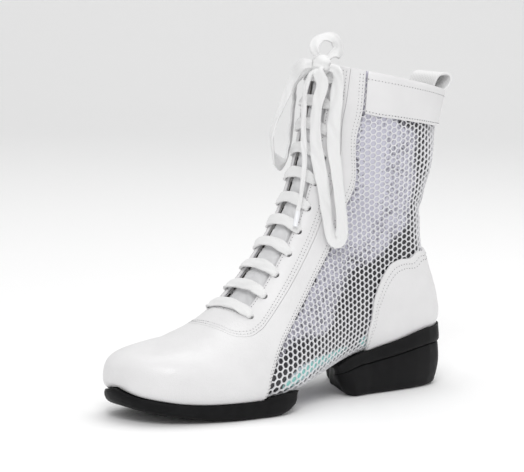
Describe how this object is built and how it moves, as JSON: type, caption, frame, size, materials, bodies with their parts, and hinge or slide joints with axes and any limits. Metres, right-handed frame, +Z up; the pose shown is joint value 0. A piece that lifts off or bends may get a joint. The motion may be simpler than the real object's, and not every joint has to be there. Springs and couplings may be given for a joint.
{
  "type": "lace-up dance boot",
  "caption": "White lace-up ankle-high dance boot with a leather vamp, mesh quarters and a split black rubber sole",
  "frame": {"origin": "on the floor, in the middle of the flat spot of the heel's tread", "axes": "+X runs from the toe to the heel, +Y towards the inner side of the foot, +Z up"},
  "size_m": [0.2607, 0.0856, 0.2326],
  "materials": {
    "white_leather": "smooth, half gloss",
    "white_mesh": "open net over a glossy film",
    "white_cloth": "matte woven",
    "black_rubber": "matte",
    "warm_lining": "matte"
  },
  "bodies": {
    "root": {"upper": "white_mesh", "vamp": "white_leather", "eyestay": "white_leather", "heel_counter": "white_leather", "collar_band": "white_leather", "tongue": "white_cloth", "insole": "warm_lining", "forefoot_sole": "black_rubber", "heel_unit": "black_rubber", "lace_bar_01": "white_cloth", "lace_bar_02": "white_cloth", "lace_bar_03": "white_cloth", "lace_bar_04": "white_cloth", "lace_bar_05": "white_cloth", "lace_bar_06": "white_cloth", "lace_bar_07": "white_cloth", "lace_bar_08": "white_cloth", "lace_bar_09": "white_cloth", "lace_bar_10": "white_cloth", "lace_bar_11": "white_cloth", "pull_loop": "white_cloth", "lace_knot": "white_cloth", "bow_loop_inner": "white_cloth", "bow_loop_outer": "white_cloth", "lace_end_outer": "white_cloth", "bow_fold_top": "white_cloth"}
  },
  "joints": []
}
